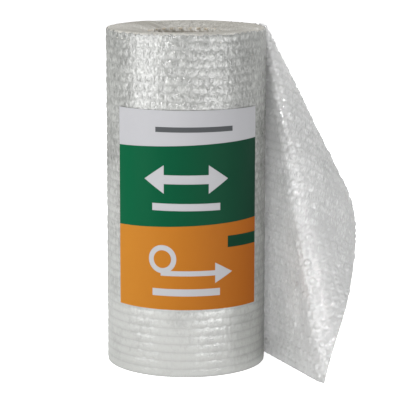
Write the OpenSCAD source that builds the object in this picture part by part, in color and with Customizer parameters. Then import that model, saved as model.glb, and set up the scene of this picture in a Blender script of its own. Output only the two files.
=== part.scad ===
// A roll of bubble wrap that stands on its end, with a paper label round its front.
// The wound film is one solid. Its turns follow a spiral of half circles about two centres,
// and the outer turn comes loose at the back and opens out on the right as a curling sheet.

/* [Roll] */
// Diameter over the outer turn
roll_d = 190; // [140:1:260]
// Diameter of the open hole along the middle
hole_d = 84; // [40:1:110]
// Width of the film, which is the height of the standing roll
film_w = 400; // [250:1:600]
// Turns from the hole to the outside
turns = 23; // [12:1:30]
// How far the innermost turn sits below the rim at the upper end
dish = 5; // [0:0.5:12]
// How far the soft outer turn drops at the upper rim
rim_drop = 1.6; // [0:0.1:3]
// Depth of the groove between two turns on an end
end_groove = 2.4; // [0.5:0.1:5]
// Share of the turn pitch that the groove between two turns takes
end_groove_share = 0.4; // [0.2:0.05:0.6]

/* [Bubbles] */
// Diameter of a bubble
bubble_d = 10; // [8:0.5:16]
// Film between two bubbles of a row
bubble_gap = 1; // [0.5:0.1:3]
// Height of a bubble over the film
bubble_h = 2.6; // [1:0.1:4]
// Diameter of the flat crown of a bubble
crown_d = 6; // [3:0.5:7]
// Depth of the line between two rows of bubbles on the outer turn
row_groove = 0.8; // [0.3:0.1:1.2]
// Width of that line
row_groove_w = 2.4; // [1:0.1:3]

/* [Loose end] */
// Where the outer turn leaves the roll, in degrees from +X towards the back
leave_angle = 120; // [90:1:150]
// How much larger the radius of the loosened stretch is than the roll's
loose_play = 1.7; // [1:0.1:15]
// Heading of the loose end where it stands straight, in degrees off the front
heading = 23; // [10:0.5:35]
// Length of film from the end of the loosened stretch to the free edge, along the floor
loose_w = 170; // [80:1:200]
// How much longer the loose end is along its upper edge, because it was cut at a slant
edge_slant = 27; // [0:1:40]
// Thickness of the film with its flat backing
sheet_t = 1; // [0.6:0.1:1.6]
// Height of the curl's apex over the upper edge of the film
apex_rise = 6; // [5:1:30]
// Angle down from the apex at which the curl starts
curl_from = 21; // [8:0.5:30]
// Angle over which the tight part of the curl runs
curl_span = 10.5; // [8:0.5:35]
// Curvature where the curl starts, for a unit distance from the apex
curl_start = 16; // [4:0.5:18]
// Curvature where the tight part ends
curl_end = 4.5; // [2:0.1:6]
// Curvature of the flap that hangs behind
curl_flap = 2; // [0.2:0.1:2.5]

/* [Label] */
// Height of the label's lower edge over the floor
label_z = 80.5; // [20:0.5:120]
// Height of the label
label_h = 232; // [100:1:260]
// Start of the label, in degrees from the front towards the left
label_left = 54; // [20:1:80]
// End of the label, in degrees from the front towards the right
label_right = 57; // [20:1:80]
// Thickness of the label
label_t = 0.3; // [0.2:0.1:1]

/* [Hidden] */
$fn = 96;
// How far the bore's cutting cylinder runs past the ends
cut_over = 1;
// Gap between the loosened stretch and the turn under it, where the two part
layer_gap = 0.2;
// How deep the loose end's tongue runs into the loosened stretch, and how far it lies under
// the lines between the rows there
root_depth = 3;
root_inset = 0.3;
// Flat film between the root and the first bubble
first_s = 1;
// Rows of bubbles that one facet of the flat back spans
back_step = 3;

roll_r = roll_d / 2;
loose_r = roll_r + loose_play;
hole_r = hole_d / 2;
turn_t = (roll_r - hole_r) / turns;
groove_half = end_groove_share * turn_t / 2;

bubble_pitch = bubble_d + bubble_gap;
rows = floor(film_w / (bubble_pitch * sin(60)));
row_h = film_w / rows;

// The wound film is drawn with its free end on +X and turned to leave_angle afterwards.
// The second centre of the spiral lies half a turn's thickness behind the hole's axis.
second_x = -turn_t / 2;
second_r = roll_r - turn_t / 2;
front_angle = -90;
function dir(a) = [cos(a), sin(a)];

// Height of the upper end at turn k, counted from the outside
function rim_z(k) = film_w - dish * pow(k / turns, 2) - rim_drop * exp(-k);

// Outline of the outer face from the floor up, with a shallow line between rows
function row_points(r) = [
    for (j = [1 : rows - 1])
        for (p = [[0, -1], [-row_groove, -1], [-row_groove, 1], [0, 1]])
            [r + p[0], j * row_h + p[1] * row_groove_w / 2]
];

// Outline of an end, from the outer turn in. up is 1 on the upper end and -1 on the lower.
function end_z(k, up) = up > 0 ? rim_z(k) : 0;
function end_points(r, lines, up) = [
    for (k = [0 : lines - 1])
        let (edge = r - k * turn_t, next = edge - turn_t)
        for (p = [
            [k == 0 ? edge : edge - groove_half, end_z(k, up)],
            [next + groove_half, end_z(k, up)],
            [next + groove_half, end_z(k, up) - up * end_groove],
            [next - groove_half, end_z(k, up) - up * end_groove]
        ])
            p
];

function turned_over(list) = [for (i = [len(list) - 1 : -1 : 0]) list[i]];

// Half of the wound film in section, from inner_r to r, with a line between each two turns
module winding_section(r, inner_r, lines) {
    last_edge = r - lines * turn_t - groove_half;
    polygon(concat(
        [[inner_r, 0], [last_edge, 0]],
        turned_over(end_points(r, lines, -1)),
        row_points(r),
        end_points(r, lines, 1),
        [[last_edge, end_z(lines, 1)], [inner_r, end_z(lines, 1)]]
    ));
}

module winding() {
    difference() {
        union() {
            rotate_extrude(angle = 180)
                winding_section(roll_r, hole_r - turn_t / 2, turns - 1);
            translate([second_x, 0, 0])
                rotate([0, 0, 180])
                    rotate_extrude(angle = 180)
                        winding_section(second_r, hole_r - turn_t, turns - 2);
        }
        translate([0, 0, -cut_over])
            cylinder(r = hole_r, h = film_w + 2 * cut_over);
    }
}

// The outer turn loosens over this stretch, about a third centre.
loosened_inner = loose_r - turn_t + layer_gap;
loose_x = roll_r - loose_r;
module loosened_turn() {
    translate([loose_x, 0, 0])
        mirror([0, 1, 0])
            rotate_extrude(angle = leave_angle - heading)
                polygon(concat(
                    [[loosened_inner, 0], [loose_r, 0]],
                    row_points(loose_r),
                    [[loose_r, rim_z(0)], [loosened_inner, rim_z(0)]]
                ));
}
root = loose_x * dir(leave_angle) + loose_r * dir(heading);

// The loose end bends as a cone whose apex stands over the root. Each frame holds the
// direction down a straight line of the cone and the direction across it.
apex = [root[0], root[1], film_w + apex_rise];
frame_step = 1;
function spin(v, axis, a) =
    v * cos(a) + cross(axis, v) * sin(a) + axis * (axis * v) * (1 - cos(a));
function curl(a) =
    a < curl_from ? 0 :
    a < curl_from + curl_span ? curl_start + (curl_end - curl_start) * (a - curl_from) / curl_span :
    curl_flap;
function next_frame(f, a) =
    let (pole = cross(f[0], f[1]) - curl(a) * f[0], size = norm(pole))
    [for (v = f) spin(v, pole / size, size * frame_step)];
frames = [
    for (
        a = 0, f = [[0, 0, -1], [sin(heading), -cos(heading), 0]];
        a <= 90 + frame_step;
        f = next_frame(f, a + frame_step / 2), a = a + frame_step
    ) f
];
function frame_at(a) =
    let (i = floor(a / frame_step), u = a / frame_step - i)
    [for (c = [0, 1]) frames[i][c] * (1 - u) + frames[i + 1][c] * u];

// Point of the loose end at s along the film and z up it, raised by lift on the bubbled side.
// The lower edge stands on the floor, so no point goes below it.
function film_point(s, z, lift) =
    let (
        down = apex[2] - z,
        f = frame_at(atan2(max(s, 0), down)),
        p = (s < 0 ? s * f[1] + down * f[0] : norm([s, down]) * f[0])
            + apex + lift * cross(f[0], f[1])
    )
    [p[0], p[1], max(p[2], 0)];

// The bubbles stand in staggered rows. Zigzag lines of corners part the rows, and each
// bubble takes three corners of the line below it and three of the line above.
halves = 2 * round((loose_w - first_s) / bubble_pitch) + 1;
half_w = (loose_w - first_s) / halves;
back_lines = [for (j = [0 : back_step : rows - 1]) j, rows];

function corner_z(j, m) =
    j == 0 ? 0 : j == rows ? film_w : j * row_h + row_h / 6 * ((j + m) % 2 == 0 ? 1 : -1);
// Length along the film at m half pitches from the first corner, which grows up a slanted edge
function along(m, z) = first_s + m * half_w * (1 + edge_slant / loose_w * z / film_w);
function corner(j, m, lift) = film_point(along(m, corner_z(j, m)), corner_z(j, m), lift);
// Middles of the bubbles of row j, in half pitches from the first corner
function middles(j) = [for (m = [1 + j % 2 : 2 : halves - 1]) m];
// The bubbles next to the root lie on the turn under them, which squeezes them flatter. The
// room for them is the lift at which a point of the film would meet that turn.
under = second_x * dir(leave_angle);
function room(p, q) =
    let (
        n = [q[0] - p[0], q[1] - p[1]],
        d = [p[0], p[1]] - under,
        b = n * d,
        clear = d * d - pow(second_r + layer_gap, 2),
        c = b * b - (n * n) * clear
    )
    b < 0 && c > 0 && clear > 0 ? (-b - sqrt(c)) / (n * n) : sheet_t + bubble_h;
function crown(j, m) = [
    for (a = [90, 210, 330])
        let (
            s = along(m, (j + 0.5) * row_h) + crown_d / 2 * cos(a),
            z = (j + 0.5) * row_h + crown_d / 2 * sin(a)
        )
        film_point(s, z, min(sheet_t + bubble_h, room(film_point(s, z, 0), film_point(s, z, 1))))
];

line_n = halves + 1;
front_points = [for (j = [0 : rows]) for (m = [0 : halves]) corner(j, m, sheet_t)];
back_points = [for (j = back_lines) for (m = [0 : halves]) corner(j, m, 0)];
crown_points = [for (j = [0 : rows - 1]) for (m = middles(j)) for (p = crown(j, m)) p];
root_points = [
    for (lift = [row_groove + root_inset, row_groove + 2 * root_inset])
        for (z = [root_inset, film_w - 2 * rim_drop])
            film_point(-root_depth, z, lift)
];
back_0 = len(front_points);
crown_0 = back_0 + len(back_points);
root_0 = crown_0 + len(crown_points);
function front_i(j, m) = j * line_n + m;
function back_i(i, m) = back_0 + i * line_n + m;

// Crowns of the rows below row j, to find where its own start
row_starts = [for (j = 0, n = 0; j < rows; n = n + len(middles(j)), j = j + 1) n];

function bubble_faces(j, m, top) =
    let (
        c = [
            front_i(j + 1, m), front_i(j + 1, m - 1), front_i(j, m - 1),
            front_i(j, m), front_i(j, m + 1), front_i(j + 1, m + 1)
        ]
    )
    concat(
        [for (i = [0 : 2]) each [
            [c[2 * i], c[(2 * i + 5) % 6], top + i],
            [c[2 * i + 1], c[2 * i], top + i],
            [c[2 * i + 1], top + i, top + (i + 1) % 3]
        ]],
        [[top + 2, top + 1, top]]
    );
// Flat film at the two ends of a row
function end_faces(j) =
    let (first = middles(j)[0] - 1, last = middles(j)[len(middles(j)) - 1] + 1)
    [
        for (m = [each [0 : 1 : first - 1], each [last : 1 : halves - 1]]) each [
            [front_i(j, m), front_i(j + 1, m + 1), front_i(j, m + 1)],
            [front_i(j, m), front_i(j + 1, m), front_i(j + 1, m + 1)]
        ]
    ];
front_faces = [
    for (j = [0 : rows - 1]) each concat(
        [for (i = [0 : len(middles(j)) - 1])
            each bubble_faces(j, middles(j)[i], crown_0 + 3 * (row_starts[j] + i))],
        end_faces(j)
    )
];
back_faces = [
    for (i = [0 : len(back_lines) - 2]) for (m = [0 : halves - 1]) each [
        [back_i(i, m), back_i(i, m + 1), back_i(i + 1, m + 1)],
        [back_i(i, m), back_i(i + 1, m + 1), back_i(i + 1, m)]
    ]
];
rim_faces = [
    for (m = [0 : halves - 1]) each [
        [front_i(0, m), front_i(0, m + 1), back_i(0, m + 1)],
        [front_i(0, m), back_i(0, m + 1), back_i(0, m)],
        [front_i(rows, m + 1), front_i(rows, m), back_i(len(back_lines) - 1, m)],
        [front_i(rows, m + 1), back_i(len(back_lines) - 1, m), back_i(len(back_lines) - 1, m + 1)]
    ]
];
// Free edge: each stretch between two lines of the back meets the corners in front of it
edge_faces = [
    for (i = [0 : len(back_lines) - 2]) each concat(
        [for (j = [back_lines[i] : back_lines[i + 1] - 1])
            [front_i(j, halves), front_i(j + 1, halves), back_i(i, halves)]],
        [[front_i(back_lines[i + 1], halves), back_i(i + 1, halves), back_i(i, halves)]]
    )
];
// The film runs on into the roll, so that sheet and roll are one solid
last_back = len(back_lines) - 1;
root_faces = [
    [root_0, root_0 + 1, root_0 + 3, root_0 + 2],
    [root_0 + 2, root_0 + 3, for (j = [rows : -1 : 0]) front_i(j, 0)],
    [root_0 + 1, root_0, for (i = [0 : last_back]) back_i(i, 0)],
    [root_0, root_0 + 2, front_i(0, 0)],
    [root_0, front_i(0, 0), back_i(0, 0)],
    [root_0 + 3, root_0 + 1, back_i(last_back, 0)],
    [root_0 + 3, back_i(last_back, 0), front_i(rows, 0)]
];

module loose_sheet() {
    polyhedron(
        points = concat(front_points, back_points, crown_points, root_points),
        faces = concat(front_faces, back_faces, rim_faces, edge_faces, root_faces),
        convexity = 10
    );
}

module bubble_wrap() {
    color("gainsboro") union() {
        rotate([0, 0, leave_angle]) {
            winding();
            loosened_turn();
        }
        loose_sheet();
    }
}

// The label lies on the flat bands between the row lines, and bridges those lines
module label() {
    color("seagreen")
        rotate([0, 0, front_angle - label_left])
            rotate_extrude(angle = label_left + label_right)
                translate([roll_r, label_z])
                    square([label_t, label_h]);
}

bubble_wrap();
label();
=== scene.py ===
# %% [markdown]
# # A roll of bubble wrap
#
# Bubble wrap is two thin films. One is flat and one has bubbles pressed into it, and the two are
# welded together round every bubble. This roll is wound with its bubbles inwards, so its outside
# shows the flat film drawn tight over squeezed bubbles, and its loose end, which has curled open,
# shows the bubbles themselves.
#
# The lesson works on one idea: every visible face is the same strip of film, so each piece asks
# the same few functions what the strip looks like at a distance along it and a height up it.

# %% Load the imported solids
import math

import bpy
import numpy as np
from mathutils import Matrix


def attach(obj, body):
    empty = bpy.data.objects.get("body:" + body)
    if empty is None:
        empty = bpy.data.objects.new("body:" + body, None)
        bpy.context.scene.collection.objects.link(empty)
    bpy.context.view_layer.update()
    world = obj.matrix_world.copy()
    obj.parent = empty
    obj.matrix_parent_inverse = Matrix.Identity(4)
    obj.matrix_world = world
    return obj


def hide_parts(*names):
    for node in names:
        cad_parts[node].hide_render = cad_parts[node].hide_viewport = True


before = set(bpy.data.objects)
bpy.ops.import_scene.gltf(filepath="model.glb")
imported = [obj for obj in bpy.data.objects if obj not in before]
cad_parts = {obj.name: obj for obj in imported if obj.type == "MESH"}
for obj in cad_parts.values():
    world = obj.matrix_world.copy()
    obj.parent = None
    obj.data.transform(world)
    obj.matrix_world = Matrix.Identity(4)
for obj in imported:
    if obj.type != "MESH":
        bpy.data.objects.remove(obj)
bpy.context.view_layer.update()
print("solids:", sorted(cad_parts))

# %% [markdown]
# ## Sizes
#
# The sizes are those of the solids, in metres, so that each new piece lies where its solid is.
# The wound film is a spiral. It can be drawn as one smooth formula, but half circles about two
# centres give the same look, and they are what the solid uses, so the pieces fit it exactly.

# %% Sizes of the roll
# Angles are from +X, against the clock seen from above. The film starts to leave the roll at
# LEAVE, and from HEADING on it stands free.
MM = 0.001
ROLL_R = 95 * MM
HOLE_R = 42 * MM
FILM_W = 400 * MM
TURNS = 23
TURN_T = (ROLL_R - HOLE_R) / TURNS
DISH = 5 * MM
RIM_DROP = 1.6 * MM
ROWS = 41
ROW_H = FILM_W / ROWS
LEAVE = math.radians(120)
LOOSE_PLAY = 1.7 * MM
LOOSE_R = ROLL_R + LOOSE_PLAY
HEADING = math.radians(23)
LOOSE_ARC = LOOSE_R * (LEAVE - HEADING)
print("turn thickness in mm:", round(TURN_T / MM, 2), "row height:", round(ROW_H / MM, 2))

# %% Sizes of the loose end
# FIRST_S is the flat film before the first bubble, and HALF_W half the way between two bubbles.
LOOSE_W = 170 * MM
EDGE_SLANT = 27 * MM
FIRST_S = 1 * MM
HALVES = 31
HALF_W = (LOOSE_W - FIRST_S) / HALVES
SHEET_T = 1 * MM
BUBBLE_H = 2.6 * MM
BUBBLE_R = 4.8 * MM
CROWN_R = 2.9 * MM
APEX_RISE = 6 * MM
print("bubbles stand", round(2 * HALF_W / MM, 2), "mm apart along the film")


# %% [markdown]
# ## Helpers for meshes
#
# A surface here is a grid of points worked out as whole arrays. Adding vertices one by one in a
# Python loop would also work, but it is slow with this many, and the formula gets lost in it.
# Each grid that closes on itself both ways, like a tyre, is a solid with no hole in it.

# %% A grid of quads
def grid_quads(rows, cols, wrap_rows=False, wrap_cols=False):
    """Corners of each quad in a grid numbered row by row.

    A wrapped side joins its last line to its first.
    """
    i = np.arange(rows if wrap_rows else rows - 1)[:, None]
    j = np.arange(cols if wrap_cols else cols - 1)[None, :]
    i2, j2 = (i + 1) % rows, (j + 1) % cols
    quads = [i * cols + j, i * cols + j2, i2 * cols + j2, i2 * cols + j]
    return np.stack(np.broadcast_arrays(*quads), axis=-1).reshape(-1, 4)


print("quads of a 4 by 5 grid, open and closed:",
      len(grid_quads(4, 5)), len(grid_quads(4, 5, True, True)))


# %% A mesh object from arrays
def film_piece(name, points, faces, strip):
    """A piece at the origin. strip is each point's place on the film, along and up, in metres."""
    mesh = bpy.data.meshes.new(name)
    mesh.from_pydata(points.reshape(-1, 3).tolist(), [], faces)
    mesh.polygons.foreach_set("use_smooth", np.ones(len(mesh.polygons), dtype=bool))
    corner = np.empty(len(mesh.loops), dtype=np.int32)
    mesh.loops.foreach_get("vertex_index", corner)
    strip_map = mesh.uv_layers.new(name="strip")
    strip_map.data.foreach_set("uv", strip.reshape(-1, 2)[corner].astype(np.float32).ravel())
    mesh.update()
    piece = bpy.data.objects.new(name, mesh)
    bpy.context.scene.collection.objects.link(piece)
    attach(piece, "root")
    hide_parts("bubble_wrap")
    print(name, "triangles:", len(mesh.loops) - 2 * len(mesh.polygons))
    return piece


# %% [markdown]
# ## The pattern on the strip
#
# Squeezed bubbles don't keep their round shape. Each is pushed flat by the next turn, and its skin
# folds into short upright creases that stop at the flat lines between the rows. Random numbers
# drawn per row and per crease give that, and a fixed seed draws the same ones each time.

# %% Smooth random numbers along the rows
SEED = 41
CREASE_N = 512
LEAN_MOST = 0.9
chance = np.random.default_rng(SEED)
crease_table = chance.uniform(0, 1, (ROWS, CREASE_N))
lean_table = chance.uniform(-LEAN_MOST, LEAN_MOST, (ROWS, CREASE_N))
tall_table = chance.uniform(0, 1, (ROWS, CREASE_N))
turn_table = chance.uniform(0, 2 * math.pi, (ROWS, CREASE_N))


def ease(x):
    """The smooth step: 0 below 0, 1 above 1, and 3x^2 - 2x^3 between."""
    x = np.clip(x, 0, 1)
    return x * x * (3 - 2 * x)


def row_of(z):
    """Row of bubbles at height z, and how far up that row z is, from 0 to 1."""
    row = np.clip(np.floor(z / ROW_H), 0, ROWS - 1).astype(int)
    return row, np.clip(z / ROW_H - row, 0, 1)


def along_row(table, row, x):
    """Value of a table's row at x, eased from each whole number to the next."""
    i = np.floor(x).astype(int)
    u = ease(x - i)
    return table[row, i % CREASE_N] * (1 - u) + table[row, (i + 1) % CREASE_N] * u


print("chance values a row:", CREASE_N, "rows:", ROWS)


# %% Crumpled noise in both directions
crumple_table = chance.uniform(0, 1, (CREASE_N, CREASE_N))


def crumple(s, z, size):
    """Chance values from 0 to 1 on a square lattice of a size, eased between its corners."""
    i, j = np.floor(s / size).astype(int), np.floor(z / size).astype(int)
    u, v = ease(s / size - i), ease(z / size - j)
    i, j, i2, j2 = i % CREASE_N, j % CREASE_N, (i + 1) % CREASE_N, (j + 1) % CREASE_N
    low = crumple_table[i, j] * (1 - u) + crumple_table[i2, j] * u
    high = crumple_table[i, j2] * (1 - u) + crumple_table[i2, j2] * u
    return low * (1 - v) + high * v


print("crumple repeats after", CREASE_N, "cells each way")


# %% Slow waves over the whole film
# Their typical speeds along and up the film are in radians a metre.
WAVES = 9
SPEED_ALONG, SPEED_UP = 45.0, 30.0
wave_k = chance.normal(0, 1, (WAVES, 2)) * [[SPEED_ALONG, SPEED_UP]]
wave_p = chance.uniform(0, 2 * math.pi, WAVES)


def sway(s, z):
    """A fourth of the sum of slow sine waves in chance directions, between about -1 and 1."""
    return sum(np.sin(k[0] * s + k[1] * z + p) for k, p in zip(wave_k, wave_p)) / 4


print("typical wave length in mm:", round(2 * math.pi / SPEED_ALONG / MM))


# %% The flat film drawn over squeezed bubbles
# Towards the foot the film is wound tighter, so its lines and creases are shallower there.
# It sinks by ROW_PULL of LINE_DEPTH between two rows, and by SIDE_PULL between two bubbles.
ROW_PULL = 0.85
SIDE_PULL = 0.5
LINE_DEPTH = 1.2 * MM
LINE_AT_FOOT = 0.35
CREASE_DEPTH = 0.6 * MM
CREASE_AT_FOOT = 0.3
CREASE_W = 4.0 * MM
CREASES_FULL_AT = 320 * MM
SINK_DEPTH = 0.35 * MM
SWAY_DEPTH = 0.25 * MM
SKIN_DEPTH = 0.05 * MM


def crease_slack(z):
    """Share of the full crease depth at height z, from CREASE_AT_FOOT up to 1."""
    return CREASE_AT_FOOT + (1 - CREASE_AT_FOOT) * ease(z / CREASES_FULL_AT)


def crease_depth(s, z):
    """How far the outside of the film lies under the turn's round form, in metres.

    The film sinks between the squeezed bubbles, by the fourth power of the distance from the
    nearest bubble's middle, and rises over each like a pillow, with creases of a chance depth.
    """
    row, up = row_of(z)
    beside = (s - FIRST_S) / (2 * HALF_W) - (1 + row % 2) / 2
    beside = beside - np.round(beside)
    pillow = 1 - np.clip(ROW_PULL * (2 * up - 1) ** 4 + SIDE_PULL * (2 * beside) ** 4, 0, 1)
    lean = along_row(lean_table, row, s / (4 * HALF_W))
    crease = along_row(crease_table, row, s / CREASE_W + lean * (up - 0.5))
    sink = along_row(tall_table, row, (s - FIRST_S) / (2 * HALF_W) + 0.5 * (row % 2))
    slack = crease_slack(z)
    line_share = LINE_AT_FOOT + (1 - LINE_AT_FOOT) * slack
    return (LINE_DEPTH * (1 - pillow) * line_share + CREASE_DEPTH * crease * pillow * slack
            + SINK_DEPTH * sink + SWAY_DEPTH * (1 + sway(s, z)) / 2 + SKIN_DEPTH)


for height in (0.5 * ROW_H, FILM_W - ROW_H, FILM_W - 0.5 * ROW_H):
    print("depth at", round(height / MM), "mm up:",
          round(float(crease_depth(np.array(0.0), np.array(height))) / MM, 2), "mm")

# %% [markdown]
# ### The bubbled side
#
# A drum with round pockets sucks the warm film in before the flat film is pressed on, so a bubble
# is no dome: it has a steep wall and a flat crown. Every bubble could be the same, as they leave
# the drum, but on a roll each has been pressed. So each gets its own height, tilt and dent.

# %% The formed film with its bubbles
# How far a bubble's rim is off round, how much its crown tilts, and how deep and wide its dent is
OFF_ROUND = 0.07
CROWN_TILT = 0.16
DENT_SHARE = 0.3
DENT_R = 2.4 * MM
DENT_OFF = 2 * MM
LEAST_SHARE = 0.2


def bubble_rise(s, z, limp):
    """Height of the formed film over the flat one.

    A bubble is a flat crown with an eased wall. Its rim is a little three sided, its height is a
    chance share of the full one, and limp is how much of the height a bubble may have lost.
    """
    row, _ = row_of(z)
    shift = 1 + row % 2
    i = np.round(((s - FIRST_S) / HALF_W - shift) / 2).astype(int)
    ds = s - FIRST_S - (2 * i + shift) * HALF_W
    dz = z - (row + 0.5) * ROW_H
    turn = turn_table[row, i % CREASE_N]
    tall = 1 - limp * tall_table[row, i % CREASE_N]
    spoke = np.arctan2(dz, ds)
    reach = np.hypot(ds, dz) * (1 + OFF_ROUND * np.sin(3 * spoke + turn))
    wall = ease((BUBBLE_R - reach) / (BUBBLE_R - CROWN_R))
    tilt = CROWN_TILT * (ds * np.cos(turn) + dz * np.sin(turn)) / BUBBLE_R
    dent = DENT_SHARE * limp * ease(1 - np.hypot(ds - DENT_OFF * np.cos(2 * turn), dz) / DENT_R)
    return BUBBLE_H * wall * np.clip(tall + tilt - dent, LEAST_SHARE, 1)


middle_s, middle_z = FIRST_S + HALF_W, ROW_H / 2
print("first bubble's middle stands, in mm:",
      round(float(bubble_rise(np.array(middle_s), np.array(middle_z), 0)) / MM, 2))


# %% [markdown]
# ## The wound film
#
# A roll's side could be a cylinder with a bump map, but a bump leaves the outline straight, and
# the outline of real bubble wrap is lumpy. So the outer turn is true geometry: a profile goes up
# the outside, over the soft upper rim and down again inside, and is carried once round the spiral.

# %% The spiral
def spiral(turned, depth, z):
    """Points on the spiral. turned is the angle inwards from where the film leaves the roll.

    Each full turn is a half circle about the axis and one about a centre half a turn's thickness
    behind it, and each half circle is half a thickness smaller than the one before.
    """
    whole = np.floor(turned / (2 * math.pi))
    half = (turned - whole * 2 * math.pi >= math.pi).astype(float)
    radius = ROLL_R - (whole + half / 2) * TURN_T - depth
    middle = -half * TURN_T / 2
    angle = LEAVE + turned
    x = middle * math.cos(LEAVE) + radius * np.cos(angle)
    y = middle * math.sin(LEAVE) + radius * np.sin(angle)
    return np.stack(np.broadcast_arrays(x, y, z), axis=-1)


def rim_height(turn):
    """Height of the upper end at a turn counted from outside: dished, with a soft first turn."""
    return FILM_W - DISH * (turn / TURNS) ** 2 - RIM_DROP * np.exp(-turn)


print("height at the outer turn, the next and the hole, in mm:",
      [round(float(rim_height(turn)) / MM, 1) for turn in (0, 1, TURNS)])


# %% The profile of the outer turn
SKIN_COLS = 440
STEPS_A_ROW = 5
SKIN_FROM = 0.6 * MM
SKIN_UNDER_RIM = 1.6 * MM
FRAY = 1.0 * MM
FRAY_W = 3.4 * MM
FRAY_SWAY = 0.4
FRAY_UNDER_RIM = 1.5 * MM
rim_top = float(rim_height(0))
skin_up = np.linspace(SKIN_FROM, rim_top - SKIN_UNDER_RIM, STEPS_A_ROW * ROWS + 1)
# Each row is how far in, how far up, and how much of the creases it takes
rim_rows = np.array([[0.25, -0.9, 1.0], [0.8, -0.3, 0.9], [1.5, 0.0, 0.6], [2.4, -0.2, 0.2],
                     [3.0, -1.6, 0.0], [6.0, -3.0, 0.0]]) * [MM, MM, 1] + [0, rim_top, 0]
foot_rows = np.array([[6.0, 1.0, 0.0], [0.9, 0.0, 0.3], [0.3, 0.12, 0.8]]) * [MM, MM, 1]
skin_rows = np.stack([0 * skin_up, skin_up, 0 * skin_up + 1], axis=1)
profile = np.concatenate([foot_rows, skin_rows, rim_rows])[:, :, None]


def skin_points(point_at, s):
    """Carries the profile along a path, with a frayed rim.

    point_at gives the point at s, a depth and a height.
    """
    depth, z, share = profile[:, 0], profile[:, 1], profile[:, 2]
    fray = 2 * crumple(s, 0 * z, FRAY_W) - 1 + FRAY_SWAY * sway(3 * s, 0 * z)
    z = z + FRAY * fray * (z > rim_top - FRAY_UNDER_RIM)
    z, along = np.broadcast_arrays(z, s)
    return point_at(s, depth + share * crease_depth(along, z), z), np.stack([along, z], axis=-1)


print("points up the profile:", len(profile))


# %% Carry it round the roll
turned = np.arange(SKIN_COLS) / SKIN_COLS * 2 * math.pi
skin_s = -LOOSE_ARC - turned * (ROLL_R - TURN_T / 4)
points, strip = skin_points(lambda s, depth, z: spiral(turned, depth, z), skin_s)
quads = grid_quads(len(profile), SKIN_COLS, True, True).tolist()
outer_turn = film_piece("outer_turn", points, quads, strip)
print("widest reach in mm:", round(float(np.hypot(points[..., 0], points[..., 1]).max()) / MM, 2))

# %% [markdown]
# ## The loosened stretch
#
# Before the film leaves the roll it stands off it a little, on a rounder curve about a third
# centre. It is the same profile on another path. Its two ends are closed with a face each.

# %% The loosened stretch of the outer turn
LOOSE_COLS = 130
LOOSE_T = 2.2 * MM
loosened = np.linspace(0, LEAVE - HEADING, LOOSE_COLS)


def loosened_at(s, depth, z):
    """Points on the arc of radius LOOSE_R whose start meets the roll where the film leaves it."""
    middle, angle = ROLL_R - LOOSE_R, LEAVE - loosened
    radius = LOOSE_R - np.minimum(depth, LOOSE_T)
    x = middle * math.cos(LEAVE) + radius * np.cos(angle)
    y = middle * math.sin(LEAVE) + radius * np.sin(angle)
    return np.stack(np.broadcast_arrays(x, y, z), axis=-1)


points, strip = skin_points(loosened_at, -LOOSE_ARC + loosened * LOOSE_R)
quads = grid_quads(len(profile), LOOSE_COLS, True, False)[:, ::-1].tolist()
caps = [[row * LOOSE_COLS for row in range(len(profile) - 1, -1, -1)],
        [row * LOOSE_COLS + LOOSE_COLS - 1 for row in range(len(profile))]]
loosened_turn = film_piece("loosened_turn", points, quads + caps, strip)

# %% [markdown]
# ## The ends of the roll
#
# On an end each turn shows two edges: the flat film's, which is an even line, and the formed
# film's, which weaves in and out as it passes cut bubbles. The ends are rings whose height is
# looked up from the turn that a point lies in, so the lines run in as the one true spiral.

# %% The edges of the turns
# Where across a turn each film's edge lies and how wide its crest is, as shares of the turn.
# The formed film's edge weaves to each side and is lower, and all the turns wander a little.
FLAT_AT, FLAT_W = 0.16, 0.13
FORMED_AT, FORMED_W = 0.62, 0.14
FORMED_WEAVE, FORMED_SHARE = 0.2, 0.8
WANDER = 0.16
edge_wave = chance.uniform(0, 2 * math.pi, TURNS + 3)


def crest_at(across, middle, width):
    """Bell curve of height 1 about the middle."""
    return np.exp(-((across - middle) / width) ** 2)


def end_depth(r, turned):
    """How deep an end lies under its crests, and the turn, at a radius and an angle.

    The turn is how many thicknesses the point lies in from the spiral's first turn. A crest is a
    bell curve across the turn, one for each of the two films.
    """
    half = turned >= math.pi
    first = ROLL_R - half * (TURN_T / 2) * (1 + np.cos(turned))
    turn = (first - r) / TURN_T
    turn = turn + WANDER * (sway(0.5 * r, 0.05 * turned) + np.sin(3 * turned + 40 * r) * 0.5)
    whole = np.clip(np.floor(turn), 0, TURNS).astype(int)
    across = turn - whole
    weave = FORMED_AT + FORMED_WEAVE * np.sin(r * turned / (HALF_W / math.pi) + edge_wave[whole])
    flat = np.maximum(crest_at(across, FLAT_AT, FLAT_W), crest_at(across, 1 + FLAT_AT, FLAT_W))
    return 1 - np.maximum(flat, FORMED_SHARE * crest_at(across, weave, FORMED_W)), turn


print("one of the flat film's crests is", round(2 * FLAT_W * TURN_T / MM, 2), "mm wide")


# %% The rings of the ends
# An end starts under the outer turn's skin and runs into the lining of the hole.
UNDER_SKIN = 1.2 * MM
PAST_HOLE = 0.7 * MM
WIDEN_FROM, WIDEN_SPAN = 85 * MM, 8 * MM
GROOVE_DEPTH = 2.0 * MM
UPPER_T, LOWER_T = 14 * MM, 12 * MM


def end_grid(rows, cols):
    """Radii from the outer turn in to the hole, and the angles of the columns.

    The first radii widen with the spiral, so the end meets the outer turn all the way round.
    """
    turned = np.arange(cols)[None, :] / cols * 2 * math.pi
    r = np.linspace(ROLL_R - UNDER_SKIN - TURN_T, HOLE_R + PAST_HOLE, rows)[:, None] + 0 * turned
    widening = np.where(turned < math.pi, TURN_T, TURN_T * (1 - np.cos(turned)) / 2)
    return r + widening * ease((r - WIDEN_FROM) / WIDEN_SPAN), turned


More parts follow.
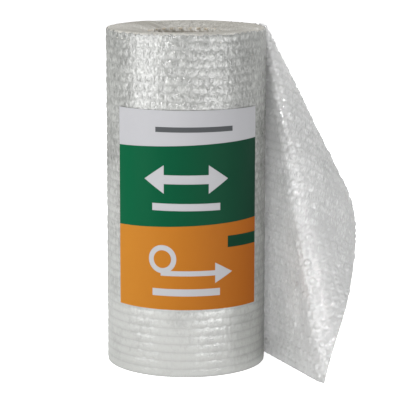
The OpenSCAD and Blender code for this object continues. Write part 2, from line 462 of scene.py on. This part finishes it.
def ring(r, z, turned):
    """Points, faces and strip of a closed ring from a profile's radii and heights."""
    r, z, angle = np.broadcast_arrays(r, z, LEAVE + turned)
    points = np.stack([r * np.cos(angle), r * np.sin(angle), z], axis=-1)
    faces = grid_quads(r.shape[0], r.shape[1], True, True)
    strip = np.stack([-r * (angle - LEAVE), z], axis=-1)
    return points, faces, strip


print("an end runs in to", round((HOLE_R + PAST_HOLE) / MM, 1), "mm from the axis")

# %% The upper end
# Further out than RIM_FROM turns the end stays level, so that it meets the outer turn's rim.
RIM_FROM = 0.35
UPPER_SWAY = 0.5 * MM
r, turned = end_grid(160, 360)
sunk, turn = end_depth(r, turned)
top = rim_height(np.maximum(turn, RIM_FROM)) - GROOVE_DEPTH * sunk
top = top + UPPER_SWAY * sway(r * 2, 0.1 * turned)
under = 0 * turned + FILM_W - UPPER_T
r = np.concatenate([r[:1], r, r[-1:]])
z = np.concatenate([under, top, under])
points, faces, strip = ring(r, z, turned)
upper_turns = film_piece("upper_turns", points, faces.tolist(), strip)

# %% The lower end
r, turned = end_grid(110, 240)
r = r[::-1]
sunk, turn = end_depth(r, turned)
over = 0 * turned + LOWER_T
r = np.concatenate([r[:1], r, r[-1:]])
z = np.concatenate([over, GROOVE_DEPTH * sunk, over])
points, faces, strip = ring(r, z, turned)
lower_turns = film_piece("lower_turns", points, faces.tolist(), strip)

# %% [markdown]
# ## The lining of the hole
#
# The bubbles face inwards, so the innermost turn shows them standing into the hole. Their crowns
# reach the hole's stated radius, and the film lies a bubble's height behind.

# %% The innermost turn
LINING_COLS = 250
BUBBLES_ROUND = 25
LINING_T = 2.2 * MM
LINING_H = 2.1 * MM
LINING_LIMP = 0.4
LINING_FROM, LINING_UNDER_RIM = 0.4 * MM, 0.5 * MM
lining_top = rim_height(TURNS)
turned = np.arange(LINING_COLS)[None, :] / LINING_COLS * 2 * math.pi
lining_up = np.linspace(LINING_FROM, lining_top - LINING_UNDER_RIM, STEPS_A_ROW * ROWS + 1)
lining_up = lining_up[::-1, None]
along = turned / (2 * math.pi) * BUBBLES_ROUND * 2 * HALF_W
rise = bubble_rise(along + 0 * lining_up, lining_up + 0 * turned, LINING_LIMP)
behind = 0 * turned + HOLE_R + LINING_T + 1 * MM
r = np.concatenate([behind, HOLE_R + LINING_T - rise * LINING_H / BUBBLE_H, behind])
z = np.concatenate([0 * turned + lining_top, lining_up + 0 * turned, 0 * turned])
points, faces, _ = ring(r, z, turned)
strip = np.stack(np.broadcast_arrays(along, z), axis=-1)
hole_lining = film_piece("hole_lining", points, faces.tolist(), strip)

# %% [markdown]
# ## The loose end
#
# A film bends but doesn't stretch, so a bent sheet is always made of straight lines. A cylinder,
# a cone and such are the only forms it takes. This loose end is a cone: its tip stands over the
# roll's upper right corner, where the film is held, and the sheet rolls up tighter towards it.
# A cloth simulation could find this too, but a cone with chosen bends gives the same sheet each
# time, and it keeps the film's true width.

# %% The cone's bends
CURL_FROM, CURL_SPAN = 21, 10.5
CURL_START, CURL_END, CURL_FLAP = 16, 4.5, 2.0


def curl(a):
    """Curvature of the cone at an angle from its first line, in degrees, for a unit distance.

    It is 0 up to CURL_FROM, falls evenly over CURL_SPAN, and then stays at CURL_FLAP.
    """
    tight = CURL_START + (CURL_END - CURL_START) * (a - CURL_FROM) / CURL_SPAN
    return np.where(a < CURL_FROM, 0.0, np.where(a < CURL_FROM + CURL_SPAN, tight, CURL_FLAP))


def spin(v, axis, angle):
    """A vector v turned about a unit axis: v cos + (axis x v) sin + axis (axis . v) (1 - cos)."""
    return (v * math.cos(angle) + np.cross(axis, v) * math.sin(angle)
            + axis * np.dot(axis, v) * (1 - math.cos(angle)))


print("curvature at 10, 25 and 60 degrees:", [round(float(curl(a)), 1) for a in (10, 25, 60)])

# %% [markdown]
# ### From bends to lines
#
# The straight lines of a cone all start at its tip. The bend at each angle says how the next line
# lies to the one before: the line and the direction across it turn together, by one degree of
# film, about a pole that leans further the tighter the bend is. So the lines are found one after
# the other, in a short loop.

# %% Walk over the cone, a degree at a time
step = math.radians(1)
LAST_DEGREE = 92
lines = [(np.array([0.0, 0.0, -1.0]), np.array([math.sin(HEADING), -math.cos(HEADING), 0.0]))]
for degree in range(LAST_DEGREE):
    down, across = lines[-1]
    pole = np.cross(down, across) - float(curl(degree + 0.5)) * down
    size = np.linalg.norm(pole)
    lines.append((spin(down, pole / size, size * step), spin(across, pole / size, size * step)))
line_table = np.array(lines)
loose_centre = (ROLL_R - LOOSE_R) * np.array([math.cos(LEAVE), math.sin(LEAVE)])
root = loose_centre + LOOSE_R * np.array([math.cos(HEADING), math.sin(HEADING)])
apex = np.array([root[0], root[1], FILM_W + APEX_RISE])
print("the film leaves the roll at, in mm:", np.round(root / MM, 1))


# %% A point of the bent sheet
def sheet_point(s, z, lift):
    """Point at s along the film and z up it, raised by lift on the bubbled side.

    The point's angle at the tip says on which straight line of the cone it lies, and its
    distance from the tip says how far down that line. Nothing goes under the floor.
    """
    down = apex[2] - z
    degree = np.degrees(np.arctan2(np.maximum(s, 0), down))
    whole = np.floor(degree).astype(int)
    share = (degree - whole)[..., None, None]
    line = line_table[whole] * (1 - share) + line_table[whole + 1] * share
    first, second = line[..., 0, :], line[..., 1, :]
    held = (s < 0)[..., None]
    place = np.where(held, s[..., None] * second + down[..., None] * first,
                     np.hypot(s, down)[..., None] * first)
    place = place + apex + lift[..., None] * np.cross(first, second)
    place[..., 2] = np.maximum(place[..., 2], 0)
    return place


print("lower free corner, in mm:",
      np.round(sheet_point(np.array(LOOSE_W), np.array(0.0), np.array(0.0)) / MM, 1))

# %% [markdown]
# ### From lines to film
#
# The bubbled face needs close points for the walls of its bubbles, and the flat face doesn't. So
# they are two grids of different fineness, and the faces that join them round the edge have one
# long side and several short ones. One fine grid for both would join more simply, but it would
# have ten times the points on the side that shows the least.

# %% The two faces of the sheet
# The flat face needs fewer points: one in five up the film and one in two along it.
FINE_S, FINE_Z = 180, 410
COARSE_S, COARSE_Z = 2, 5
ROOT_S = -4 * MM
SHEET_LIMP = 0.75
SHEET_SHARE = 0.6
BACK_SHARE, BACK_MOST = 0.5, 0.9 * MM
# Wrinkles between the bubbles: the height in mm, the width, and how long the small ones are drawn
WRINKLE_H, WRINKLE_W = 0.5, 2.3 * MM
SMALL_H, SMALL_W, SMALL_DRAWN = 0.4, 1.6 * MM, 0.4
s_line = np.linspace(ROOT_S, LOOSE_W, FINE_S + 1)
z_line = np.linspace(0, FILM_W, FINE_Z + 1)
z, s = np.meshgrid(z_line, s_line, indexing="ij")
s = s * (1 + EDGE_SLANT / LOOSE_W * z / FILM_W * (s > 0))
rise = bubble_rise(s, z, SHEET_LIMP)
wrinkle = (WRINKLE_H * crumple(s, z, WRINKLE_W)
           + SMALL_H * crumple(s, SMALL_DRAWN * z, SMALL_W)) * MM
front = sheet_point(s, z, SHEET_T * SHEET_SHARE + SHEET_SHARE * rise + wrinkle)
s_back, z_back = s[::COARSE_Z, ::COARSE_S], z[::COARSE_Z, ::COARSE_S]
back_dent = np.minimum(crease_depth(s_back, z_back), BACK_MOST) * BACK_SHARE
back = sheet_point(s_back, z_back, back_dent)
print("bubbled face points:", front.shape[:2], "flat face points:", back.shape[:2])


# %% Join them round the edge
def edge_faces(fine, rough, ratio):
    """Faces between a fine edge line and a coarse one, one for each stretch of the coarse line."""
    starts = np.arange(len(rough) - 1)
    stretch = fine[starts[:, None] * ratio + np.arange(ratio + 1)[None, :]]
    face = [rough[starts][:, None], rough[starts + 1][:, None], stretch[:, ::-1]]
    return np.concatenate(face, axis=1).tolist()


front_at = np.arange(front.shape[0] * front.shape[1]).reshape(front.shape[:2])
back_at = front_at.size + np.arange(back.shape[0] * back.shape[1]).reshape(back.shape[:2])
faces = grid_quads(*front.shape[:2]).tolist()
faces += (grid_quads(*back.shape[:2])[:, ::-1] + front_at.size).tolist()
faces += edge_faces(front_at[0], back_at[0], COARSE_S)
faces += edge_faces(front_at[-1, ::-1], back_at[-1, ::-1], COARSE_S)
faces += edge_faces(front_at[::-1, 0], back_at[::-1, 0], COARSE_Z)
faces += edge_faces(front_at[:, -1], back_at[:, -1], COARSE_Z)
points = np.concatenate([front.reshape(-1, 3), back.reshape(-1, 3)])
strip = np.concatenate([np.stack([s, z], -1).reshape(-1, 2),
                        np.stack([s_back, z_back], -1).reshape(-1, 2)])
loose_sheet = film_piece("loose_sheet", points, faces, strip)

# %% [markdown]
# ## The finish of the film
#
# Clear film over trapped air looks milky: light is reflected at every skin it meets. True glass
# on two dozen turns would be slow and noisy, so the wound turns are an opaque, pale and glossy
# plastic. Only the loose end, where one layer is left, lets light through: some straight on, and
# more of it scattered inside the film, so that a lamp behind it makes it glow.
#
# The gloss is a coat. A coat is strongest where it is seen edge-on, and would draw a hard rim
# down each side of the roll that real film doesn't have, so it fades there. The colour holds
# painted light and shade: the wound film is painted paler towards its foot, the loose end darker
# towards its foot and paler where it runs close to the roll, and every film darker in the
# hollows of its creases and on the lines between its rows. Creases too small for the mesh are a
# bump that reads the strip, so they follow the film.

# %% A helper for nodes
def node(tree, kind, place=(0, 0), **values):
    """A node of a tree, with its inputs and properties set by name."""
    made = tree.nodes.new(kind)
    made.location = place
    for name, value in values.items():
        if name in made.inputs:
            made.inputs[name].default_value = value
        else:
            setattr(made, name, value)
    return made


print("film colours read the map:", outer_turn.data.uv_layers[0].name)


# %% Arithmetic in nodes
EDGE_SOFT = 0.3 * MM


class Drawing:
    """Arithmetic nodes of one tree, written as calls.

    A shape's reach is the distance to its outline, below zero inside it and above zero outside.
    """

    def __init__(self, tree):
        """Draws in the given tree."""
        self.tree = tree

    def math(self, operation, *values):
        """One sum of numbers and of other nodes' values."""
        made = node(self.tree, "ShaderNodeMath", operation=operation)
        for socket, value in zip(made.inputs, values):
            if isinstance(value, (int, float)):
                socket.default_value = value
            else:
                self.tree.links.new(value, socket)
        return made.outputs[0]

    def clamp(self, value):
        """A value held between 0 and 1."""
        return self.math("MINIMUM", self.math("MAXIMUM", value, 0.0), 1.0)

    def inside(self, reach, soft=EDGE_SOFT):
        """1 where a reach is below zero and 0 above: 1/2 - reach / soft, held between them."""
        return self.clamp(self.math("SUBTRACT", 0.5, self.math("DIVIDE", reach, soft)))

    def box(self, u, v, u0, v0, half_u, half_v):
        """Reach of a rectangle: the larger of |u - u0| - half_u and |v - v0| - half_v."""
        du = self.math("SUBTRACT", self.math("ABSOLUTE", self.math("SUBTRACT", u, u0)), half_u)
        dv = self.math("SUBTRACT", self.math("ABSOLUTE", self.math("SUBTRACT", v, v0)), half_v)
        return self.math("MAXIMUM", du, dv)

    def arrowhead(self, u, v, tip, v0, length, half, way):
        """Reach of a triangle with its tip at (tip, v0), that points along way (1 or -1)."""
        back = self.math("MULTIPLY", self.math("SUBTRACT", tip, u), way)
        side = self.math("SUBTRACT", self.math("ABSOLUTE", self.math("SUBTRACT", v, v0)),
                         self.math("MULTIPLY", back, half / length))
        return self.math("MAXIMUM", side, self.math("SUBTRACT", back, length))

    def ring(self, u, v, u0, v0, radius, half):
        """Reach of a ring about (u0, v0): its distance from a circle, less half its width."""
        du, dv = self.math("SUBTRACT", u, u0), self.math("SUBTRACT", v, v0)
        squares = self.math("ADD", self.math("MULTIPLY", du, du), self.math("MULTIPLY", dv, dv))
        off = self.math("ABSOLUTE", self.math("SUBTRACT", self.math("SQRT", squares), radius))
        return self.math("SUBTRACT", off, half)

    def join(self, *reaches):
        """Reach of several shapes taken as one: the smallest of theirs."""
        out = reaches[0]
        for other in reaches[1:]:
            out = self.math("MINIMUM", out, other)
        return out

    def paint(self, below, colour, mask):
        """A colour laid over the one below where the mask is 1."""
        made = node(self.tree, "ShaderNodeMix", data_type="RGBA")
        for side, value in (("A", below), ("B", colour)):
            if isinstance(value, tuple):
                made.inputs[side].default_value = (*value, 1)
            else:
                self.tree.links.new(value, made.inputs[side])
        self.tree.links.new(mask, made.inputs["Factor"])
        return made.outputs["Result"]


print("an outline is drawn soft over", round(EDGE_SOFT / MM, 1), "mm")

# %% [markdown]
# ### Creases that keep to their rows
#
# One noise over the whole film would run on across the welded lines, which real creases never do.
# So each row reads a slice of its own, and every height fades to nothing on the lines. The same
# sums give the masks that the colours need, so they are one group that all the films share.

# %% A group for fine creases
# Up one row a crease passes UP_A_ROW cells of its noise, and the rows' slices lie SLICE_GAP apart.
UP_A_ROW, SLICE_GAP = 1.3, 7.31
# The creases are full from BUMPS_FULL_AT up, and the share BUMPS_AT_FOOT of that at the foot.
BUMPS_FULL_AT, BUMPS_AT_FOOT = 340 * MM, 0.2
GRIT_SHARE = 0.15
# Painted shade on a row's lines: there the colour goes only this far from dark to pale.
ROW_LINE_SHADE, ROW_LINE_SHADE_POWER = 0.65, 0.8
NEAR_TO = 140 * MM


def fine_crease_group():
    """Creases held between the lines of the rows, and the masks that the colours need.

    Each row reads its own slice of a noise that is stretched up the film, and its height is
    drawn to nothing on the lines by the square root of a half sine wave. Crease is the same
    height about 1/2, which the colours take as painted shade in the hollows and painted light
    on the ridges, and Cloud a slow noise. The row mask falls from 1 on a row's middle to the
    set tone on its lines, which is painted shade there. The foot mask falls from about 1 at the
    foot to 0, and the mask for the roll from 1 at the roll to 0 at NEAR_TO; both carry painted
    light, and painted shade where a film takes them below zero.
    """
    group = bpy.data.node_groups.new("fine_creases", "ShaderNodeTree")
    group.interface.new_socket("Strip", in_out="INPUT", socket_type="NodeSocketVector")
    group.interface.new_socket("Creases a metre", in_out="INPUT", socket_type="NodeSocketFloat")
    for name in ("Height", "Crease", "Row shade", "Foot light", "Near light", "Cloud"):
        group.interface.new_socket(name, in_out="OUTPUT", socket_type="NodeSocketFloat")
    start = group.nodes.new("NodeGroupInput")
    end = group.nodes.new("NodeGroupOutput")
    link = group.links.new
    draw = Drawing(group)
    split = node(group, "ShaderNodeSeparateXYZ")
    link(start.outputs["Strip"], split.inputs[0])
    rows_up = draw.math("DIVIDE", split.outputs["Y"], ROW_H)
    row, up = draw.math("FLOOR", rows_up), draw.math("FRACT", rows_up)
    pillow = draw.math("POWER", draw.math("SINE", draw.math("MULTIPLY", up, math.pi)), 0.5)
    along = draw.math("MULTIPLY", split.outputs["X"], start.outputs["Creases a metre"])
    place = node(group, "ShaderNodeCombineXYZ")
    link(along, place.inputs["X"])
    link(draw.math("MULTIPLY", up, UP_A_ROW), place.inputs["Y"])
    link(draw.math("MULTIPLY", row, SLICE_GAP), place.inputs["Z"])
    crease = node(group, "ShaderNodeTexNoise", Scale=1.0, Detail=2.0, Roughness=0.6, Distortion=0.5)
    link(place.outputs[0], crease.inputs["Vector"])
    grit = node(group, "ShaderNodeTexNoise", Scale=700.0, Detail=2.0, Roughness=0.5)
    cloud = node(group, "ShaderNodeTexNoise", Scale=22.0, Detail=3.0, Roughness=0.5)
    link(start.outputs["Strip"], grit.inputs["Vector"])
    link(start.outputs["Strip"], cloud.inputs["Vector"])
    up_share = draw.math("DIVIDE", split.outputs["Y"], BUMPS_FULL_AT)
    slack = draw.math("MULTIPLY", up_share, 1 - BUMPS_AT_FOOT)
    slack = draw.math("MINIMUM", draw.math("ADD", slack, BUMPS_AT_FOOT), 1.0)
    held = draw.math("MULTIPLY", pillow, draw.math("SUBTRACT", crease.outputs["Fac"], 0.5))
    held = draw.math("MULTIPLY", held, slack)
    grain = draw.math("MULTIPLY", grit.outputs["Fac"], GRIT_SHARE)
    # Painted shade on the rows' lines: the colour factor falls there.
    middle = draw.math("MULTIPLY", draw.math("POWER", pillow, ROW_LINE_SHADE_POWER), 1 - ROW_LINE_SHADE)
    # Mask for the painted light close to the roll on the loose end.
    near = draw.math("SUBTRACT", 1.0, draw.math("DIVIDE", split.outputs["X"], NEAR_TO))
    link(draw.math("ADD", held, grain), end.inputs["Height"])
    link(draw.math("ADD", held, 0.5), end.inputs["Crease"])
    link(draw.math("ADD", middle, ROW_LINE_SHADE), end.inputs["Row shade"])
    link(draw.math("SUBTRACT", 1.0, slack), end.inputs["Foot light"])
    link(draw.clamp(near), end.inputs["Near light"])
    link(cloud.outputs["Fac"], end.inputs["Cloud"])
    return group


fine_creases = fine_crease_group()
print("group:", fine_creases.name)


# %% A milky film material
CLOUD_SHARE = 0.3
TONE_FROM, TONE_TO = 0.38, 0.62
# Painted light on the loose end close to the roll, and the amount taken off everywhere with it.
NEAR_PAINTED_LIGHT, NEAR_LIGHT_OFFSET = 0.34, 0.09
MATT_ROUGH, MATT_MIRROR = 0.5, 0.1
SCATTER_SHARE, SCATTER_REACH = 0.85, 12 * MM


def film_material(name, dark, pale, rough, ior, bump_mm, creases, tight=0.0, clear=0.0):
    """Milky film, coloured between dark and pale by cloud and crease, under a gloss coat.

    rough and ior are the coat's, and creases is how many run over a metre. tight is how much
    painted light is laid on towards the foot, where the creases are shallower; below zero it is
    painted shade there. clear is the share of light that goes straight through. Film that is
    clear at all also scatters light inside, and is painted paler close to the roll, as light.
    The crease hollows and the rows' lines are painted darker, as shade, and the crease ridges
    paler, as light.
    """
    material = bpy.data.materials.new(name)
    material.use_nodes = True
    tree = material.node_tree
    link = tree.links.new
    shader = tree.nodes["Principled BSDF"]
    shader.inputs["Roughness"].default_value = MATT_ROUGH
    shader.inputs["Specular IOR Level"].default_value = MATT_MIRROR
    shader.inputs["Coat Roughness"].default_value = rough
    shader.inputs["Coat IOR"].default_value = ior
    strip = node(tree, "ShaderNodeUVMap", uv_map="strip")
    group = node(tree, "ShaderNodeGroup", node_tree=fine_creases)
    group.inputs["Creases a metre"].default_value = creases
    draw = Drawing(tree)
    # Painted shade in the crease hollows and painted light on their ridges, mixed with a slow cloud
    # of tone.
    blend = draw.math("ADD", draw.math("MULTIPLY", group.outputs["Cloud"], CLOUD_SHARE),
                      draw.math("MULTIPLY", group.outputs["Crease"], 1 - CLOUD_SHARE))
    # Painted light towards the foot; where tight is below zero it is painted shade there.
    blend = draw.math("ADD", blend, draw.math("MULTIPLY", group.outputs["Foot light"], tight))
    if clear:
        # Painted light close to the roll, less a little everywhere.
        near = draw.math("MULTIPLY", group.outputs["Near light"], NEAR_PAINTED_LIGHT)
        blend = draw.math("ADD", blend, draw.math("SUBTRACT", near, NEAR_LIGHT_OFFSET))
        shader.inputs["Subsurface Weight"].default_value = SCATTER_SHARE
        shader.inputs["Subsurface Radius"].default_value = (1, 1, 1)
        shader.inputs["Subsurface Scale"].default_value = SCATTER_REACH
        shader.inputs["Alpha"].default_value = 1 - clear
    tone = node(tree, "ShaderNodeMapRange")
    tone.inputs["From Min"].default_value = TONE_FROM
    tone.inputs["From Max"].default_value = TONE_TO
    mix = node(tree, "ShaderNodeMix", data_type="RGBA")
    mix.inputs["A"].default_value = (*dark, 1)
    mix.inputs["B"].default_value = (*pale, 1)
    bump = node(tree, "ShaderNodeBump", Strength=1.0, Distance=bump_mm * MM)
    link(strip.outputs["UV"], group.inputs["Strip"])
    link(blend, tone.inputs["Value"])
    # Painted shade on the lines between the rows.
    link(draw.math("MULTIPLY", tone.outputs["Result"], group.outputs["Row shade"]), mix.inputs["Factor"])
    link(mix.outputs["Result"], shader.inputs["Base Color"])
    link(group.outputs["Height"], bump.inputs["Height"])
    link(bump.outputs["Normal"], shader.inputs["Normal"])
    link(bump.outputs["Normal"], shader.inputs["Coat Normal"])
    edge_on = node(tree, "ShaderNodeLayerWeight", Blend=0.5)
    link(draw.math("SUBTRACT", 1.0, edge_on.outputs["Facing"]), shader.inputs["Coat Weight"])
    print(name, "nodes:", len(tree.nodes))
    return material


# %% The four films
# The hole is warm because light has passed through many turns of film before it comes out there.
# For the wound film, tight is painted light towards its foot.
wound = film_material("wound_film", dark=(0.13, 0.135, 0.124), pale=(0.40, 0.407, 0.388),
                      rough=0.17, ior=2.3, bump_mm=1.7, creases=250, tight=0.16)
ends = film_material("film_edges", dark=(0.40, 0.38, 0.335), pale=(0.80, 0.785, 0.735),
                     rough=0.15, ior=2.0, bump_mm=1.2, creases=420)
lining = film_material("hole_film", dark=(0.44, 0.37, 0.27), pale=(0.76, 0.68, 0.55),
                       rough=0.15, ior=1.8, bump_mm=0.8, creases=420)
# For the loose film, tight below zero is painted shade towards its foot, and clear brings painted
# light close to the roll.
sheet = film_material("loose_film", dark=(0.46, 0.465, 0.46), pale=(0.90, 0.905, 0.90),
                      rough=0.07, ior=2.2, bump_mm=1.2, creases=600, tight=-0.12, clear=0.2)
for piece, material in ((outer_turn, wound), (loosened_turn, wound), (upper_turns, ends),
                        (lower_turns, ends), (hole_lining, lining), (loose_sheet, sheet)):
    piece.data.materials.append(material)

# %% [markdown]
# ## The label
#
# The label is a sheet of plain paper with three fields of colour. The lower two grow deeper
# towards the right. Its marks are simple signs for how wide and how long the film is: a double
# arrow, and a roll with an arrow. They are drawn with arithmetic on Object coordinates, because
# the solid has no map of its own. A picture would be quicker to make, but it would have to be
# kept beside the scene, and its edges would blur close up.

# %% The colours and places of the print
GREEN, DEEP_GREEN = (0.0, 0.096, 0.038), (0.008, 0.040, 0.024)
ORANGE, DEEP_ORANGE = (0.50, 0.195, 0.023), (0.36, 0.100, 0.013)
WHITE = (0.47, 0.47, 0.49)
TAB = (0.004, 0.040, 0.020)
INK = (0.085, 0.09, 0.095)
GREEN_TOP, ORANGE_TOP = 272.5 * MM, 179 * MM
FIELD_LEAN = 0.042
DEEP_FROM, DEEP_SPAN = 10 * MM, 170 * MM
# In mm. A bar is its middle and half sizes, a head its tip, height, length, half and way, and a
# hoop its middle, radius and half width.
TAB_BAR = (84, 159, 34, 6.8)
LINE_BAR = (10, 290.5, 46, 3)
WIDTH_BARS = ((0, 233, 32, 5.2), (0, 201, 40, 4.2))
WIDTH_HEADS = ((50, 233, 24, 16.5, 1), (-50, 233, 24, 16.5, -1))
LENGTH_HOOP = (-28, 140, 13.5, 3)
LENGTH_BARS = ((4, 123.5, 34, 3), (0, 101, 40, 4.2))
LENGTH_HEAD = (56, 123.5, 22, 12, 1)
print("fields end at, in mm:", round(GREEN_TOP / MM, 1), round(ORANGE_TOP / MM, 1))

# %% The printed paper
paper = bpy.data.materials.new("printed_label")
paper.use_nodes = True
tree = paper.node_tree
shader = tree.nodes["Principled BSDF"]
draw = Drawing(tree)
place = node(tree, "ShaderNodeTexCoord")
split = node(tree, "ShaderNodeSeparateXYZ")
tree.links.new(place.outputs["Object"], split.inputs[0])
towards = draw.math("MULTIPLY", split.outputs["Y"], -1.0)
u = draw.math("MULTIPLY", draw.math("ARCTAN2", split.outputs["X"], towards), ROLL_R)
v = split.outputs["Z"]
lean = draw.math("MULTIPLY", u, FIELD_LEAN)


def field_mask(top):
    """1 under a border that starts at height top and rises to the right."""
    return draw.inside(draw.math("SUBTRACT", v, draw.math("ADD", lean, top)))


def bar(u0, v0, half_u, half_v):
    """Reach of a rectangle given in millimetres."""
    return draw.box(u, v, u0 * MM, v0 * MM, half_u * MM, half_v * MM)


def head(tip, v0, length, half, way):
    """Reach of an arrow's head given in millimetres."""
    return draw.arrowhead(u, v, tip * MM, v0 * MM, length * MM, half * MM, way)


def hoop(u0, v0, radius, half):
    """Reach of a ring given in millimetres."""
    return draw.ring(u, v, u0 * MM, v0 * MM, radius * MM, half * MM)


print("label lies", round(ROLL_R / MM), "mm from the axis, so an angle times that is its way round")


# %% Lay the print in its order
deeper = draw.inside(draw.math("SUBTRACT", DEEP_FROM, u), DEEP_SPAN)
colour = draw.paint(WHITE, draw.paint(GREEN, DEEP_GREEN, deeper), field_mask(GREEN_TOP))
colour = draw.paint(colour, draw.paint(ORANGE, DEEP_ORANGE, deeper), field_mask(ORANGE_TOP))
colour = draw.paint(colour, TAB, draw.inside(bar(*TAB_BAR)))
colour = draw.paint(colour, INK, draw.inside(bar(*LINE_BAR)))
width_sign = draw.join(*[bar(*b) for b in WIDTH_BARS], *[head(*h) for h in WIDTH_HEADS])
colour = draw.paint(colour, WHITE, draw.inside(width_sign))
length_sign = draw.join(hoop(*LENGTH_HOOP), *[bar(*b) for b in LENGTH_BARS], head(*LENGTH_HEAD))
colour = draw.paint(colour, WHITE, draw.inside(length_sign))
print("label nodes so far:", len(tree.nodes))

# %% The paper's grain, and the label gets it all
PAPER_ROUGH, PAPER_MIRROR = 0.42, 0.04
fibre = node(tree, "ShaderNodeTexNoise", Scale=60.0, Detail=4.0, Roughness=0.6)
tree.links.new(place.outputs["Object"], fibre.inputs["Vector"])
bump = node(tree, "ShaderNodeBump", Strength=0.6, Distance=0.6 * MM)
tree.links.new(fibre.outputs["Fac"], bump.inputs["Height"])
tree.links.new(bump.outputs["Normal"], shader.inputs["Normal"])
tree.links.new(colour, shader.inputs["Base Color"])
shader.inputs["Roughness"].default_value = PAPER_ROUGH
shader.inputs["Specular IOR Level"].default_value = PAPER_MIRROR
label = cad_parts["label"]
label.data.materials.clear()
label.data.materials.append(paper)
print("label faces:", len(label.data.polygons))

# %% [markdown]
# ## The floor, the light and the camera
#
# The background is white because the floor and the sky are seen as white by the camera and in
# the gloss, not because more light falls on the roll. A bright sky alone would also give white,
# but it would wash out every crease.
#
# Six soft boxes light the roll. The small high one in front draws the bright streak on the loose
# end, and the left one the broad bright band on the roll. The one at the right and the long low
# one fill the lower right. The top one lights the upper end, and the one behind shines through
# the loose end.

# %% What is seen by the camera or in a gloss
def seen_white(tree):
    """1 for rays from the camera, also by way of a gloss or a clear film, and 0 for the rest."""
    ray = node(tree, "ShaderNodeLightPath")
    draw = Drawing(tree)
    by_way = draw.math("MAXIMUM", ray.outputs["Is Glossy Ray"], ray.outputs["Is Transmission Ray"])
    return draw.math("MAXIMUM", ray.outputs["Is Camera Ray"], by_way)


# %% The floor
FLOOR_SIZE, FLOOR_BACK, FLOOR_GAP = 24, 4, 0.5 * MM
FLOOR_PALE = 0.9
FLOOR_GLOW = 0.88
bpy.ops.mesh.primitive_plane_add(size=FLOOR_SIZE, location=(0, FLOOR_BACK, -FLOOR_GAP))
floor = bpy.context.object
floor.name = "floor"
pale = bpy.data.materials.new("studio_floor")
pale.use_nodes = True
tree = pale.node_tree
shader = tree.nodes["Principled BSDF"]
shader.inputs["Base Color"].default_value = (FLOOR_PALE, FLOOR_PALE, FLOOR_PALE, 1)
shader.inputs["Roughness"].default_value = 1.0
shader.inputs["Specular IOR Level"].default_value = 0.0
shader.inputs["Emission Color"].default_value = (1, 1, 1, 1)
glow = Drawing(tree).math("MULTIPLY", seen_white(tree), FLOOR_GLOW)
tree.links.new(glow, shader.inputs["Emission Strength"])
floor.data.materials.append(pale)
print("floor glow where it is seen:", FLOOR_GLOW)

# %% The sky
SKY_SEEN, SKY_LIGHT = 1.0, 0.28
world = bpy.data.worlds.new("studio")
bpy.context.scene.world = world
world.use_nodes = True
tree = world.node_tree
draw = Drawing(tree)
sky = tree.nodes["Background"]
sky.inputs["Color"].default_value = (1, 1, 1, 1)
more = draw.math("MULTIPLY", seen_white(tree), SKY_SEEN - SKY_LIGHT)
tree.links.new(draw.math("ADD", more, SKY_LIGHT), sky.inputs["Strength"])
print("sky strength, seen and as light:", SKY_SEEN, SKY_LIGHT)


# %% The lamps
def soft_box(name, place, aim, size, watts):
    """A lamp of a width and a height that looks from its place at aim."""
    lamp = bpy.data.lights.new(name, "AREA")
    lamp.shape = "RECTANGLE"
    lamp.size, lamp.size_y = size
    lamp.energy = watts
    thing = bpy.data.objects.new(name, lamp)
    bpy.context.scene.collection.objects.link(thing)
    thing.location = place
    thing.visible_camera = False
    way = np.array(aim) - np.array(place)
    down = math.acos(-way[2] / np.linalg.norm(way))
    thing.rotation_euler = (down, 0, math.atan2(way[1], way[0]) - math.pi / 2)
    print(name, "lamp:", watts, "W,", round(float(np.linalg.norm(way)), 2), "m off")


soft_box("front", (-0.52, -2.24, 1.42), (0, 0, 0.22), (0.25, 0.25), 17)
soft_box("left", (-0.95, -0.55, 0.4), (0, 0, 0.3), (0.66, 0.76), 6.0)
soft_box("right", (0.85, -0.75, 0.22), (0.03, 0, 0.12), (0.4, 0.4), 1.3)
soft_box("top", (0.1, 0.3, 2.4), (0, 0, 0.2), (1.6, 1.6), 20)
soft_box("back", (1.1, 2.0, 1.0), (0, 0, 0.25), (1.4, 1.2), 10)
soft_box("low", (0.5, -0.85, 0.04), (0.05, 0, 0.05), (0.7, 0.1), 1.2)

# %% The camera
# Its distance, height, tilt and lens are fitted to the roll's outline, in pixels of the photo.
CAMERA_AT = (0, -2.2, 0.597)
PHOTO_PX = 400
FOCAL_PX = 1874
SHIFT_PX = 13.75
SENSOR = 36
LOOK_DOWN = 10.42
bpy.context.scene.view_settings.view_transform = "Standard"
lens = bpy.data.cameras.new("camera")
lens.sensor_width = SENSOR
lens.lens = FOCAL_PX / PHOTO_PX * SENSOR
lens.shift_x = SHIFT_PX / PHOTO_PX
camera = bpy.data.objects.new("camera", lens)
bpy.context.scene.collection.objects.link(camera)
camera.location = CAMERA_AT
camera.rotation_euler = (math.radians(90 - LOOK_DOWN), 0, 0)
bpy.context.scene.camera = camera
print("lens in mm:", round(lens.lens, 1))

# %% The end
bpy.context.view_layer.update()
